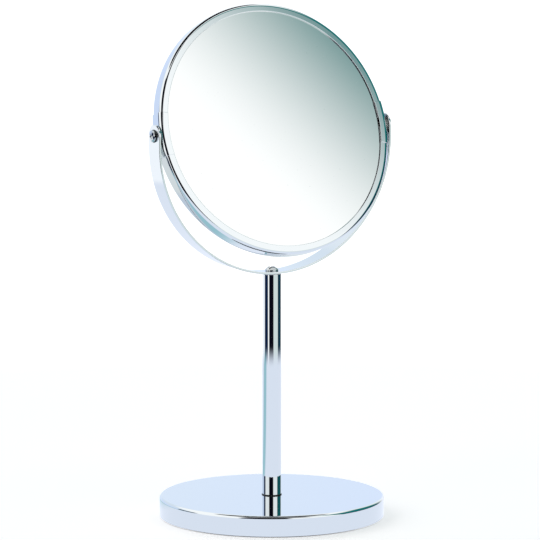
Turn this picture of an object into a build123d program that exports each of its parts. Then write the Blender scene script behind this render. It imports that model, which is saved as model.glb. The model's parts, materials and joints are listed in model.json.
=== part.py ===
from build123d import *
import math
import os

# A standing makeup mirror: a round two-sided mirror head that tips over in a
# U-shaped yoke, on a thin post over a heavy round foot. Lengths are in
# millimetres and angles in degrees. The origin is the centre of the foot's
# underside, +Z is up, and the plain mirror faces -Y and leans back. Left and
# right are those of a person who looks into the plain mirror, so right is +X.

# Foot
foot_radius = 76.0
foot_height = 14.5
foot_sheet = 0.8
foot_edge_radius = 2.0
foot_hem_radius = 0.6
foot_floor_gap = 0.8
pad_thickness = 1.0
pad_setback = 2.5
cover_floor = 1.2
cover_play = 0.15
cover_skirt_width = 2.0
cover_skirt_gap = 1.5
cover_ring_radius = 50.0
cover_ring_width = 2.5
ballast_play = 1.0
ballast_edge_radius = 0.6

# Bolt from below, M6
bolt_diameter = 6.0
bolt_engagement = 14.0
bolt_head_width = 10.0
bolt_head_height = 4.0
bolt_head_room = 0.9
bolt_washer_diameter = 14.0
bolt_washer_thickness = 1.6

# Post
post_diameter = 12.7
post_wall = 0.8
post_length = 150.5
post_plug_length = 20.0
post_ring_thickness = 0.5
post_ring_overhang = 0.45

# Yoke, bent from flat strip
yoke_strip_width = 15.0
yoke_strip_thickness = 1.5
yoke_edge_radius = 0.35
yoke_arm_rise = 7.4
yoke_seat_depth = 0.2
yoke_spot_depth = 0.1
seat_washer_thickness = 0.5

# Yoke screw, M5
yoke_screw_diameter = 5.0
yoke_screw_engagement = 14.0
yoke_screw_head_diameter = 9.0
yoke_screw_head_height = 3.4
yoke_screw_head_rim = 1.0
yoke_screw_recess_span = 5.0
yoke_screw_recess_width = 1.1
yoke_screw_recess_depth = 1.7

# Pivot screws, M4
pivot_screw_diameter = 4.0
pivot_screw_excess = 1.0
pivot_screw_head_diameter = 7.8
pivot_screw_head_height = 2.0
pivot_screw_head_rim = 0.6
pivot_screw_recess_span = 4.4
pivot_screw_recess_width = 0.9
pivot_screw_recess_depth = 1.0
inner_washer_diameter = 9.0
inner_washer_thickness = 0.8
outer_washer_diameter = 8.6
outer_washer_thickness = 0.4

# Mirror head
head_tilt = 18.4
rim_radius = 86.2
rim_width = 12.0
rim_sheet = 0.5
rim_corner_radius = 2.0
rim_hem_radius = 0.7
rim_lip_width = 5.7
rim_lip_depth = 1.0
rim_end_gap = 6.6
sleeve_length = 30.2
sleeve_sheet = 0.6
sleeve_play = 0.05
sleeve_lip_setback = 0.2
glass_thickness = 2.0
glass_edge_play = 0.8
magnifier_curvature = 1000.0
card_play = 0.3
card_edge_play = 0.6
spacer_web = 2.1
spacer_play = 0.02
nut_length = 12.0
nut_thickness = 3.0
nut_play = 0.1

# Clearances
turn_play = 0.05
thread_play = 0.03
plug_play = 0.03
hole_play = 0.2

# Foot, from the table up
cover_bottom = pad_thickness
cover_top = cover_bottom + cover_floor
bolt_head_bottom = cover_top + bolt_head_room
bolt_washer_bottom = bolt_head_bottom + bolt_head_height
ballast_bottom = bolt_washer_bottom + bolt_washer_thickness
shell_ceiling = foot_height - foot_sheet
shell_inner_radius = foot_radius - foot_sheet
shell_bend_radius = foot_edge_radius - foot_sheet
cover_radius = shell_inner_radius - cover_play
ballast_radius = shell_inner_radius - shell_bend_radius - ballast_play
bolt_radius = bolt_diameter / 2
bolt_hole_radius = bolt_radius + hole_play

# Post, from the foot up
post_radius = post_diameter / 2
plug_radius = post_radius - post_wall - plug_play
post_bottom = foot_height + post_ring_thickness
post_top = post_bottom + post_length
yoke_seat = post_top + seat_washer_thickness + turn_play

# Pivots, from the middle of the head outwards
sleeve_inner_radius = rim_radius + sleeve_play
sleeve_outer_radius = sleeve_inner_radius + sleeve_sheet
inner_washer_start = sleeve_outer_radius + turn_play
yoke_inner_radius = inner_washer_start + inner_washer_thickness
yoke_outer_radius = yoke_inner_radius + yoke_strip_thickness
pivot_head_start = yoke_outer_radius + outer_washer_thickness + turn_play
pivot_screw_radius = pivot_screw_diameter / 2
pivot_hole_radius = pivot_screw_radius + turn_play

# Yoke
yoke_end_radius = yoke_strip_width / 2
yoke_lowest = yoke_seat - yoke_seat_depth
yoke_bend_height = yoke_lowest + yoke_outer_radius
yoke_spot = yoke_lowest + yoke_strip_thickness - yoke_spot_depth
yoke_screw_radius = yoke_screw_diameter / 2
yoke_screw_seat = yoke_spot + turn_play
pivot_height = yoke_bend_height + yoke_arm_rise

# Head, from its middle plane towards the plain mirror
rim_front = rim_width / 2
rim_lip_radius = rim_radius - rim_lip_width
rim_inner_radius = rim_radius - rim_sheet
rim_end_angle = math.degrees(math.asin(rim_end_gap / 2 / rim_radius))
sleeve_front = rim_front + sleeve_play + sleeve_sheet
sleeve_lip_radius = rim_lip_radius + sleeve_lip_setback
sleeve_angle = math.degrees(sleeve_length / sleeve_outer_radius)
glass_radius = rim_inner_radius - glass_edge_play
glass_front = rim_front - rim_lip_depth
glass_back = glass_front - glass_thickness
magnifier_back_curvature = magnifier_curvature + glass_thickness
magnifier_seat_radius = rim_lip_radius + rim_sheet
magnifier_centre = -glass_front - math.sqrt(magnifier_curvature**2 - magnifier_seat_radius**2)
nut_outer = math.sqrt(rim_inner_radius**2 - (nut_length / 2) ** 2) - nut_play
nut_inner = nut_outer - nut_thickness
spacer_pocket = nut_inner - nut_play
spacer_inner_radius = spacer_pocket - spacer_web
card_radius = spacer_inner_radius - card_edge_play
card_back = magnifier_centre + magnifier_back_curvature + card_play

# Directions of the leaning head
tilt = math.radians(head_tilt)
head_middle = Vector(0, 0, pivot_height)
head_normal = Vector(0, -math.cos(tilt), math.sin(tilt))
head_up = Vector(0, math.sin(tilt), math.cos(tilt))
head_axis = Axis(head_middle, head_normal)
head_plane = Plane(origin=head_middle, x_dir=(1, 0, 0), z_dir=head_normal)

sides = {"left": -1, "right": 1}

os.makedirs("parts", exist_ok=True)


def save(name, piece):
    """Label one finished piece and write it to its own file."""
    piece.part.label = name
    export_step(piece.part, f"parts/{name}.step")


def head_section(angle, depth=0.0):
    """Plane of a cut through the head, its x along the radius and its y to the front."""
    turn = math.radians(angle)
    outward = Vector(math.cos(turn), 0, 0) + head_up * math.sin(turn)
    origin = head_middle + head_normal * depth
    return Plane(origin=origin, x_dir=outward, z_dir=outward.cross(head_normal))


def pivot_plane(sign, distance):
    """Plane square to the pivot axis, facing outwards, its y straight up."""
    return Plane(origin=(sign * distance, 0, pivot_height), x_dir=(0, sign, 0), z_dir=(sign, 0, 0))


def nut_plane(sign, distance):
    """Plane square to the pivot axis, facing outwards, its x along the leaning head."""
    return Plane(origin=(sign * distance, 0, pivot_height), x_dir=head_up, z_dir=(sign, 0, 0))


def magnifier_back(radius):
    """Depth of the magnifying mirror's hidden side at a radius of the head."""
    return magnifier_centre + math.sqrt(magnifier_back_curvature**2 - radius**2)


def domed_screw(seat, radius, length, head_radius, head_height, head_rim, span, width, depth):
    """A screw with a domed head and a cross recess, its head standing on the seat plane."""
    with BuildPart() as screw:
        with BuildSketch(Plane(origin=seat.origin, x_dir=seat.x_dir, z_dir=-seat.y_dir)):
            with BuildLine():
                Polyline((0, head_height), (0, -length), (radius, -length), (radius, 0),
                         (head_radius, 0), (head_radius, head_rim))
                TangentArc((0, head_height), (head_radius, head_rim), tangent=(1, 0))
            make_face()
        revolve(axis=Axis(seat.origin, seat.z_dir))
        with BuildSketch(seat.offset(head_height - depth)):
            Rectangle(span, width)
            Rectangle(width, span)
        extrude(amount=depth, mode=Mode.SUBTRACT)
    return screw


# Foot shell: a sheet cup, open below, with a rounded top edge
with BuildPart() as base_shell:
    with BuildSketch(Plane.XZ):
        with BuildLine():
            FilletPolyline(
                (bolt_hole_radius, foot_height),
                (foot_radius, foot_height),
                (foot_radius, foot_floor_gap),
                (shell_inner_radius, foot_floor_gap),
                (shell_inner_radius, shell_ceiling),
                (bolt_hole_radius, shell_ceiling),
                radius=[0, foot_edge_radius, foot_hem_radius, 0, shell_bend_radius, 0],
                close=True,
            )
        make_face()
    revolve(axis=Axis.Z)
save("base_shell", base_shell)

# Ballast: a steel disc clamped under the shell's top
with BuildPart() as base_ballast:
    with BuildSketch(Plane.XY.offset(ballast_bottom)):
        Circle(ballast_radius)
        Circle(bolt_hole_radius, mode=Mode.SUBTRACT)
    extrude(amount=shell_ceiling - ballast_bottom)
    rim_edges = base_ballast.edges().filter_by(GeomType.CIRCLE).group_by(SortBy.RADIUS)[-1]
    fillet(rim_edges, ballast_edge_radius)
save("base_ballast", base_ballast)

# Cover: a moulded tray that closes the shell, with a ring up to the ballast
with BuildPart() as base_cover:
    with BuildSketch(Plane.XY.offset(cover_bottom)):
        Circle(cover_radius)
    extrude(amount=cover_floor)
    with BuildSketch(Plane.XY.offset(cover_top)):
        Circle(cover_radius)
        Circle(cover_radius - cover_skirt_width, mode=Mode.SUBTRACT)
    extrude(amount=ballast_bottom - cover_skirt_gap - cover_top)
    with BuildSketch(Plane.XY.offset(cover_top)):
        Circle(cover_ring_radius)
        Circle(cover_ring_radius - cover_ring_width, mode=Mode.SUBTRACT)
    extrude(amount=ballast_bottom - cover_top)
save("base_cover", base_cover)

# Pad: the soft disc that the mirror stands on
with BuildPart() as base_pad:
    with BuildSketch(Plane.XY):
        Circle(foot_radius - pad_setback)
    extrude(amount=pad_thickness)
save("base_pad", base_pad)

# Bolt washer, under the ballast
with BuildPart() as base_bolt_washer:
    with BuildSketch(Plane.XY.offset(bolt_washer_bottom)):
        Circle(bolt_washer_diameter / 2)
        Circle(bolt_hole_radius, mode=Mode.SUBTRACT)
    extrude(amount=bolt_washer_thickness)
save("base_bolt_washer", base_bolt_washer)

# Bolt: a hexagon head inside the foot and a shank up into the post
with BuildPart() as base_bolt:
    with BuildSketch(Plane.XY.offset(bolt_head_bottom)):
        RegularPolygon(bolt_head_width / 2, 6, major_radius=False)
    extrude(amount=bolt_head_height)
    with BuildSketch(Plane.XY.offset(bolt_washer_bottom)):
        Circle(bolt_radius)
    extrude(amount=post_bottom + bolt_engagement - bolt_washer_bottom)
save("base_bolt", base_bolt)

# Ring between the foot and the post
with BuildPart() as post_ring:
    with BuildSketch(Plane.XY.offset(foot_height)):
        Circle(post_radius + post_ring_overhang)
        Circle(bolt_hole_radius, mode=Mode.SUBTRACT)
    extrude(amount=post_ring_thickness)
save("post_ring", post_ring)

# Post: a thin-walled tube
with BuildPart() as post_tube:
    with BuildSketch(Plane.XY.offset(post_bottom)):
        Circle(post_radius)
        Circle(post_radius - post_wall, mode=Mode.SUBTRACT)
    extrude(amount=post_length)
save("post_tube", post_tube)

# Threaded plugs pressed into the two ends of the post
plugs = {
    "post_bottom_plug": (post_bottom, bolt_radius),
    "post_top_plug": (post_top - post_plug_length, yoke_screw_radius),
}
for name, (bottom, thread_radius) in plugs.items():
    with BuildPart() as post_plug:
        with BuildSketch(Plane.XY.offset(bottom)):
            Circle(plug_radius)
            Circle(thread_radius + thread_play, mode=Mode.SUBTRACT)
        extrude(amount=post_plug_length)
    save(name, post_plug)

# Seat washer: the yoke turns on it
with BuildPart() as yoke_seat_washer:
    with BuildSketch(Plane.XY.offset(post_top)):
        Circle(post_radius)
        Circle(yoke_screw_radius + turn_play, mode=Mode.SUBTRACT)
    extrude(amount=seat_washer_thickness)
save("yoke_seat_washer", yoke_seat_washer)

# Yoke screw: down through the yoke into the post's top plug
yoke_screw = domed_screw(
    Plane.XY.offset(yoke_screw_seat),
    yoke_screw_radius,
    yoke_screw_seat - post_top + yoke_screw_engagement,
    yoke_screw_head_diameter / 2,
    yoke_screw_head_height,
    yoke_screw_head_rim,
    yoke_screw_recess_span,
    yoke_screw_recess_width,
    yoke_screw_recess_depth,
)
save("yoke_screw", yoke_screw)

# Yoke: a half circle of strip, then straight arms with full-round ends at the pivots
with BuildPart() as yoke:
    with BuildSketch(Plane.XZ.offset(-yoke_end_radius)):
        with BuildLine():
            for radius in (yoke_outer_radius, yoke_inner_radius):
                CenterArc((0, yoke_bend_height), radius, 180, 180)
            for sign in sides.values():
                Polyline(
                    (sign * yoke_inner_radius, yoke_bend_height),
                    (sign * yoke_inner_radius, pivot_height),
                    (sign * yoke_outer_radius, pivot_height),
                    (sign * yoke_outer_radius, yoke_bend_height),
                )
        make_face()
    extrude(amount=yoke_strip_width)
    for sign in sides.values():
        with BuildSketch(pivot_plane(sign, yoke_inner_radius)):
            with BuildLine():
                CenterArc((0, 0), yoke_end_radius, 0, 180)
                Line((-yoke_end_radius, 0), (yoke_end_radius, 0))
            make_face()
        extrude(amount=yoke_strip_thickness)
    # The edges across the strip, along X and Y, stay as they are
    long_edges = yoke.edges() - yoke.edges().filter_by(Axis.X) - yoke.edges().filter_by(Axis.Y)
    fillet(long_edges, yoke_edge_radius)
    for sign in sides.values():
        with BuildSketch(pivot_plane(sign, yoke_inner_radius)):
            Circle(pivot_hole_radius)
        extrude(amount=yoke_strip_thickness, mode=Mode.SUBTRACT)
    # Flat below for the seat washer, spot-face above for the screw, and its hole
    with BuildSketch(Plane.XY.offset(yoke_lowest)):
        Rectangle(yoke_outer_radius, yoke_strip_width)
    extrude(amount=yoke_seat_depth, mode=Mode.SUBTRACT)
    with BuildSketch(Plane.XY.offset(yoke_spot)):
        Circle(yoke_screw_head_diameter / 2 + hole_play)
    extrude(amount=yoke_strip_thickness, mode=Mode.SUBTRACT)
    with BuildSketch(Plane.XY.offset(yoke_lowest)):
        Circle(yoke_screw_radius + turn_play)
    extrude(amount=yoke_strip_thickness, mode=Mode.SUBTRACT)
save("yoke", yoke)

# Washers on the pivots: one inside each arm and one under each screw head
for side, sign in sides.items():
    with BuildPart() as pivot_inner_washer:
        with BuildSketch(pivot_plane(sign, inner_washer_start)):
            Circle(inner_washer_diameter / 2)
            Circle(pivot_hole_radius, mode=Mode.SUBTRACT)
        extrude(amount=inner_washer_thickness)
    save(f"pivot_inner_washer_{side}", pivot_inner_washer)

    with BuildPart() as pivot_outer_washer:
        with BuildSketch(pivot_plane(sign, yoke_outer_radius)):
            Circle(outer_washer_diameter / 2)
            Circle(pivot_hole_radius, mode=Mode.SUBTRACT)
        extrude(amount=outer_washer_thickness)
    save(f"pivot_outer_washer_{side}", pivot_outer_washer)

# Pivot screws and the threaded blocks inside the rim that take them
for side, sign in sides.items():
    pivot_screw = domed_screw(
        pivot_plane(sign, pivot_head_start),
        pivot_screw_radius,
        pivot_head_start - nut_inner + pivot_screw_excess,
        pivot_screw_head_diameter / 2,
        pivot_screw_head_height,
        pivot_screw_head_rim,
        pivot_screw_recess_span,
        pivot_screw_recess_width,
        pivot_screw_recess_depth,
    )
    save(f"pivot_screw_{side}", pivot_screw)

    with BuildPart() as pivot_nut:
        with BuildSketch(nut_plane(sign, nut_inner)):
            Rectangle(nut_length, 2 * (glass_back - nut_play))
            Circle(pivot_screw_radius + thread_play, mode=Mode.SUBTRACT)
        extrude(amount=nut_thickness)
    save(f"pivot_nut_{side}", pivot_nut)

# Rim: two half rings of bent channel, hemmed towards the glass, apart under the sleeves
for name, start in {"rim_upper": 0, "rim_lower": 180}.items():
    with BuildPart() as rim_half:
        with BuildSketch(head_section(start + rim_end_angle)):
            with BuildLine():
                FilletPolyline(
                    (rim_lip_radius, glass_front),
                    (rim_lip_radius, rim_front),
                    (rim_radius, rim_front),
                    (rim_radius, -rim_front),
                    (rim_lip_radius, -rim_front),
                    (rim_lip_radius, -glass_front),
                    (rim_lip_radius + rim_sheet, -glass_front),
                    (rim_lip_radius + rim_sheet, rim_sheet - rim_front),
                    (rim_inner_radius, rim_sheet - rim_front),
                    (rim_inner_radius, rim_front - rim_sheet),
                    (rim_lip_radius + rim_sheet, rim_front - rim_sheet),
                    (rim_lip_radius + rim_sheet, glass_front),
                    radius=[
                        0, rim_hem_radius, rim_corner_radius, rim_corner_radius, rim_hem_radius, 0,
                        0, rim_hem_radius - rim_sheet, rim_corner_radius - rim_sheet,
                        rim_corner_radius - rim_sheet, rim_hem_radius - rim_sheet, 0,
                    ],
                    close=True,
                )
            make_face()
        revolve(axis=head_axis, revolution_arc=180 - 2 * rim_end_angle)
    save(name, rim_half)

# Sleeves: short channels over the joints of the rim, drilled for the pivots
for side, sign in sides.items():
    with BuildPart() as sleeve:
        with BuildSketch(head_section(90 - 90 * sign - sleeve_angle / 2)):
            with BuildLine():
                FilletPolyline(
                    (sleeve_lip_radius, sleeve_front),
                    (sleeve_outer_radius, sleeve_front),
                    (sleeve_outer_radius, -sleeve_front),
                    (sleeve_lip_radius, -sleeve_front),
                    (sleeve_lip_radius, sleeve_sheet - sleeve_front),
                    (sleeve_inner_radius, sleeve_sheet - sleeve_front),
                    (sleeve_inner_radius, sleeve_front - sleeve_sheet),
                    (sleeve_lip_radius, sleeve_front - sleeve_sheet),
                    radius=[
                        0, rim_corner_radius + sleeve_sheet, rim_corner_radius + sleeve_sheet, 0,
                        0, rim_corner_radius, rim_corner_radius, 0,
                    ],
                    close=True,
                )
            make_face()
        revolve(axis=head_axis, revolution_arc=sleeve_angle)
        with BuildSketch(pivot_plane(sign, rim_radius)):
            Circle(pivot_hole_radius)
        extrude(amount=inner_washer_start - rim_radius, mode=Mode.SUBTRACT)
    save(f"sleeve_{side}", sleeve)

# Plain mirror: a flat disc of silvered glass at the front
with BuildPart() as plain_mirror:
    with BuildSketch(head_plane.offset(glass_back)):
        Circle(glass_radius)
    extrude(amount=glass_thickness)
save("plain_mirror", plain_mirror)

# Magnifying mirror: a dished disc of silvered glass at the back, between two spheres
with BuildPart() as magnifying_mirror:
    with BuildSketch(head_section(0, magnifier_centre)):
        Circle(magnifier_back_curvature)
        Circle(magnifier_curvature, mode=Mode.SUBTRACT)
        Rectangle(
            glass_radius, magnifier_back_curvature + glass_thickness,
            align=(Align.MIN, Align.MIN), mode=Mode.INTERSECT,
        )
    revolve(axis=head_axis)
save("magnifying_mirror", magnifying_mirror)

# Card between the two mirrors
with BuildPart() as mirror_backing:
    with BuildSketch(head_plane.offset(card_back)):
        Circle(card_radius)
    extrude(amount=glass_back - card_back)
save("mirror_backing", mirror_backing)

# Spacer: the ring that holds the mirrors apart, with pockets for the pivot nuts
with BuildPart() as edge_spacer:
    with BuildSketch(head_section(0)):
        with BuildLine():
            Polyline(
                (spacer_inner_radius, glass_back),
                (glass_radius, glass_back),
                (glass_radius, magnifier_back(glass_radius) + spacer_play),
                (spacer_inner_radius, magnifier_back(spacer_inner_radius) + spacer_play),
                close=True,
            )
        make_face()
    revolve(axis=head_axis)
    for sign in sides.values():
        with BuildSketch(nut_plane(sign, spacer_pocket)):
            Rectangle(nut_length + 2 * nut_play, rim_width)
        extrude(amount=nut_thickness + rim_sheet, mode=Mode.SUBTRACT)
        with BuildSketch(pivot_plane(sign, spacer_inner_radius - spacer_web)):
            Circle(pivot_screw_radius + hole_play)
        extrude(amount=2 * spacer_web + nut_play, mode=Mode.SUBTRACT)
save("edge_spacer", edge_spacer)
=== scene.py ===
"""Looks of a standing makeup mirror: a two-sided mirror head that tips over in a
bent yoke, on a thin post over a heavy round foot. All lengths are in metres, in
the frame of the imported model."""

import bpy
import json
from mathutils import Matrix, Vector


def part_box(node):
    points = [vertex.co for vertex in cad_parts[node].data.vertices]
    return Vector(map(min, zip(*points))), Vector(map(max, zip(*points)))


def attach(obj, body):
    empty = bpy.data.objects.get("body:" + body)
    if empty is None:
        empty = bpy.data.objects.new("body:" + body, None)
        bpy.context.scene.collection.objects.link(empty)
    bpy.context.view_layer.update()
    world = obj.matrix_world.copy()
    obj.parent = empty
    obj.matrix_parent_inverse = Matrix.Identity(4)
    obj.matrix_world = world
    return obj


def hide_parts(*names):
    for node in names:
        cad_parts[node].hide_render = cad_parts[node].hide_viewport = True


bl_info = {
    "name": "Standing Makeup Mirror",
    "version": (1, 0, 0),
    "blender": (4, 5, 0),
    "location": "View3D > Sidebar > Mirror",
    "description": "Chromed, silvered and moulded surfaces for a standing makeup mirror",
    "category": "Object",
}

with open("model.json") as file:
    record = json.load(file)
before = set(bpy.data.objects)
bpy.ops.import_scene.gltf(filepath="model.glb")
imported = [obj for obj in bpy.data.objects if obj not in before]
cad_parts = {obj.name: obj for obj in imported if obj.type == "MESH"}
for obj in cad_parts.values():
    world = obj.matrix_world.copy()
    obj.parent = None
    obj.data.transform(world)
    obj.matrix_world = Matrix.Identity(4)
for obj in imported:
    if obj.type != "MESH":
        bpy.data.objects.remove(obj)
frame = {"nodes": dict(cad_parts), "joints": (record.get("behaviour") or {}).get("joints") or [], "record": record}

import json
import math

import bmesh
import bpy
import numpy as np
from bpy.props import FloatProperty, FloatVectorProperty, PointerProperty
from mathutils import Vector

MM = 0.001
SIDES = {"left": -1, "right": 1}
# Edges that turn by more than this are shaded as creases.
SHARP_EDGE = math.radians(32)
# Length of the short run beside each bend that keeps the flats flat.
SUPPORT = 0.12 * MM
# Width of the sloped wall round a screw's recess.
RECESS_WALL = 0.12 * MM
# How squarely a face of the glass looks to the front or back to be silvered or painted.
FACING = 0.9
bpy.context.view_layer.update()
NODES = frame["nodes"]
PIVOT = Vector(next(j for j in frame["joints"] if j["name"] == "head_tilt")["pos_m"])


def width_of(node):
    """Size of a node's box along X."""
    low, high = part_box(node)
    return high.x - low.x


# Colours

def linear(text):
    """Linear red, green, blue and alpha of an sRGB hex colour."""
    value = np.array([int(text[i:i + 2], 16) for i in (0, 2, 4)]) / 255
    value = np.where(value <= 0.04045, value / 12.92, ((value + 0.055) / 1.055) ** 2.4)
    return (*value.tolist(), 1.0)


# Settings that a user would change

def length(name, description, default):
    """A length in metres."""
    return FloatProperty(name=name, description=description, default=default, min=0.0,
                         unit="LENGTH", subtype="DISTANCE", precision=5)


def angle(name, description, degrees):
    """An angle, given in degrees and kept in radians."""
    return FloatProperty(name=name, description=description, default=math.radians(degrees),
                         unit="ROTATION", subtype="ANGLE")


def share(name, description, default):
    """A number from 0 to 1."""
    return FloatProperty(name=name, description=description, default=default, min=0.0, max=1.0,
                         subtype="FACTOR")


def strength(name, description, default):
    """The strength of a light."""
    return FloatProperty(name=name, description=description, default=default, min=0.0)


def colour(name, description, text):
    """A colour, given as sRGB hex."""
    return FloatVectorProperty(name=name, description=description, size=4, min=0.0, max=1.0,
                               subtype="COLOR", default=linear(text))


class FootSizes(bpy.types.PropertyGroup):
    """Sizes of the foot and the post"""

    foot_radius: length("Foot Radius", "Outside radius of the foot", width_of("base_shell") / 2)
    foot_bottom: length("Foot Bottom", "Height of the shell's hem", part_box("base_shell")[0].z)
    foot_top: length("Foot Top", "Height of the foot's top face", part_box("base_shell")[1].z)
    sheet: length("Sheet", "Thickness of the foot's sheet", 0.8 * MM)
    edge_radius: length("Edge Radius", "Bend of the foot's top edge", 2.0 * MM)
    hem_radius: length("Hem Radius", "Rounding of the foot's lower edge", 0.6 * MM)
    bolt_hole: length("Bolt Hole", "Radius of the hole for the bolt", 3.2 * MM)
    pad_radius: length("Pad Radius", "Outside radius of the pad", width_of("base_pad") / 2)
    pad_edge: length("Pad Edge", "Rounding of the pad's edges", 0.3 * MM)
    post_radius: length("Post Radius", "Outside radius of the post", width_of("post_tube") / 2)
    post_wall: length("Post Wall", "Wall of the post's tube", 0.8 * MM)
    post_edge: length("Post Edge", "Rounding of the tube's ends", 0.25 * MM)
    ring_edge: length("Ring Edge", "Rounding of the ring under the post", 0.2 * MM)


class YokeSizes(bpy.types.PropertyGroup):
    """Sizes of the yoke and its washers"""

    outer_radius: length("Outer Radius", "Radius of the bend, outside", width_of("yoke") / 2)
    thickness: length("Thickness", "Thickness of the strip", 1.5 * MM)
    strip_width: length("Strip Width", "Width of the strip", 15.0 * MM)
    edge_radius: length("Edge Radius", "Rounding of the strip's edges", 0.35 * MM)
    arm_rise: length("Arm Rise", "Straight length of each arm below the pivot", 7.4 * MM)
    seat_depth: length("Seat Depth", "Depth of the flat under the yoke", 0.2 * MM)
    spot_depth: length("Spot Depth", "Depth of the spot face under the yoke's screw", 0.1 * MM)
    spot_radius: length("Spot Radius", "Radius of that spot face", 4.7 * MM)
    screw_hole: length("Screw Hole", "Radius of the hole for the yoke's screw", 2.55 * MM)
    pivot_hole: length("Pivot Hole", "Radius of the holes for the pivot screws", 2.05 * MM)
    washer_edge: length("Washer Edge", "Rounding of the washers", 0.1 * MM)


class ScrewSizes(bpy.types.PropertyGroup):
    """Sizes of the yoke's screw and of the two pivot screws"""

    yoke_shank: length("Yoke Shank", "Shank radius of the yoke's screw", 2.5 * MM)
    yoke_head: length("Yoke Head", "Head radius of the yoke's screw", 4.5 * MM)
    yoke_height: length("Yoke Height", "Height of its head", 3.4 * MM)
    yoke_side: length("Yoke Side", "Height of its head's upright side", 1.0 * MM)
    yoke_span: length("Yoke Span", "Length of its recess's slots", 6.0 * MM)
    yoke_slot: length("Yoke Slot", "Width of its recess's slots", 1.6 * MM)
    yoke_recess: length("Yoke Recess", "Depth of its recess", 2.0 * MM)
    pivot_shank: length("Pivot Shank", "Shank radius of the pivot screws", 2.0 * MM)
    pivot_head: length("Pivot Head", "Head radius of the pivot screws", 3.9 * MM)
    pivot_height: length("Pivot Height", "Height of their heads", 2.0 * MM)
    pivot_side: length("Pivot Side", "Height of their heads' upright side", 1.1 * MM)
    pivot_span: length("Pivot Span", "Length of their recesses' slots", 3.4 * MM)
    pivot_slot: length("Pivot Slot", "Width of their recesses' slots", 0.8 * MM)
    pivot_recess: length("Pivot Recess", "Depth of their recesses", 0.9 * MM)
    pivot_turn: angle("Pivot Turn", "How far round the pivot screws' slots stand", 20)


class HeadSizes(bpy.types.PropertyGroup):
    """Sizes of the mirror head"""

    tilt: angle("Tilt", "Lean of the plain mirror from upright", 18.4)
    rim_radius: length("Rim Radius", "Outside radius of the rim", 86.2 * MM)
    rim_width: length("Rim Width", "Width of the rim's band", 12.0 * MM)
    rim_sheet: length("Rim Sheet", "Thickness of the rim's sheet", 0.5 * MM)
    corner_radius: length("Corner Radius", "Bend between the band and the lips", 2.4 * MM)
    hem_radius: length("Hem Radius", "Bend of the lips down to the glass", 0.16 * MM)
    lip_width: length("Lip Width", "Width of the lips over the glass", 5.7 * MM)
    lip_depth: length("Lip Depth", "Depth of the hems down to the glass", 1.0 * MM)
    rim_gap: length("Rim Gap", "Gap between the ends of the rim's halves", 6.6 * MM)
    sleeve_length: length("Sleeve Length", "Length of the sleeves along the rim", 30.2 * MM)
    sleeve_sheet: length("Sleeve Sheet", "Thickness of the sleeves' sheet", 0.6 * MM)
    sleeve_play: length("Sleeve Play", "Room between a sleeve and the rim", 0.05 * MM)
    sleeve_setback: length("Sleeve Setback", "How far the sleeve's lips end short", 0.2 * MM)
    cut_edge: length("Cut Edge", "Rounding of the sheet's cut edges", 0.12 * MM)
    glass_radius: length("Glass Radius", "Radius of both mirrors", 84.9 * MM)
    glass_thickness: length("Glass Thickness", "Thickness of the glass", 2.0 * MM)
    glass_chamfer: length("Glass Chamfer", "Ground edge of the glass", 0.2 * MM)
    curvature: length("Curvature", "Radius of the magnifying mirror's dish", 1000.0 * MM)


class Finishes(bpy.types.PropertyGroup):
    """Colours and polish of the surfaces"""

    chrome: colour("Chrome", "Bright chromium plate", "D8DDDF")
    chrome_roughness: share("Chrome Roughness", "Polish of the chromium plate", 0.02)
    # Painted shade: the screws' plate is a darker copy of the chrome, standing in for the dark room that their
    # domes show.
    screw: colour("Screw Chrome", "Plated screw heads", "C2C6C7")
    silver: colour("Silver", "Silvered glass", "E3E5E5")
    dust: colour("Dust", "Specks of dust on the glass", "AEB6B4")
    glass_edge: colour("Glass Edge", "Ground edge of the glass", "7FA79A")
    mirror_paint: colour("Mirror Paint", "Protective paint behind the silver", "6E6A66")
    zinc: colour("Zinc", "Zinc-plated steel inside the foot and post", "A9AAA6")
    black: colour("Black Plastic", "Black moulded plastic", "17181A")
    nylon: colour("White Nylon", "White nylon washers", "E6E5DF")
    foam: colour("Foam Rubber", "Dark foam rubber", "2B2C2E")
    card: colour("Grey Card", "Grey backing card", "8C857A")


class StudioSettings(bpy.types.PropertyGroup):
    """Camera, table and surroundings"""

    azimuth: angle("Azimuth", "Camera's direction round the object", -29.8)
    elevation: angle("Elevation", "Camera's height over the horizon", 7.49)
    distance: length("Distance", "Camera's distance from the object", 2.5)
    target_height: length("Target Height", "Height that the camera turns about", 0.175)
    aim_left: length("Aim Left", "How far left of the post the view is centred", 1.17 * MM)
    aim_down: length("Aim Down", "How far below the target the view is centred", 7.19 * MM)
    focal_length: FloatProperty(name="Focal Length", description="Camera's focal length",
                                default=248.1, unit="CAMERA")
    table_radius: length("Table Radius", "Where the white table ends", 0.76)
    table_fade: length("Table Fade", "Width of the table's soft end", 0.12)
    table_white: colour("Table White", "The table's own colour", "E6E6E6")
    table_glow: strength("Table Glow", "What the camera sees the table give off", 0.5)
    table_shine: strength("Table Shine", "How bright the chrome shows the table", 1.18)
    room_light: strength("Room Light", "How bright the room is", 1.32)


# Meshes from numpy arrays

def grid_faces(rows, columns, wrap_rows=False, wrap_columns=False):
    """Quads between neighbours of a grid of vertices, whose last row or column may meet the first."""
    index = np.arange(rows * columns).reshape(rows, columns)
    if wrap_rows:
        index = np.vstack([index, index[:1]])
    if wrap_columns:
        index = np.hstack([index, index[:, :1]])
    corners = [index[:-1, :-1], index[1:, :-1], index[1:, 1:], index[:-1, 1:]]
    return np.stack(corners, axis=-1).reshape(-1, 4)


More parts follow.
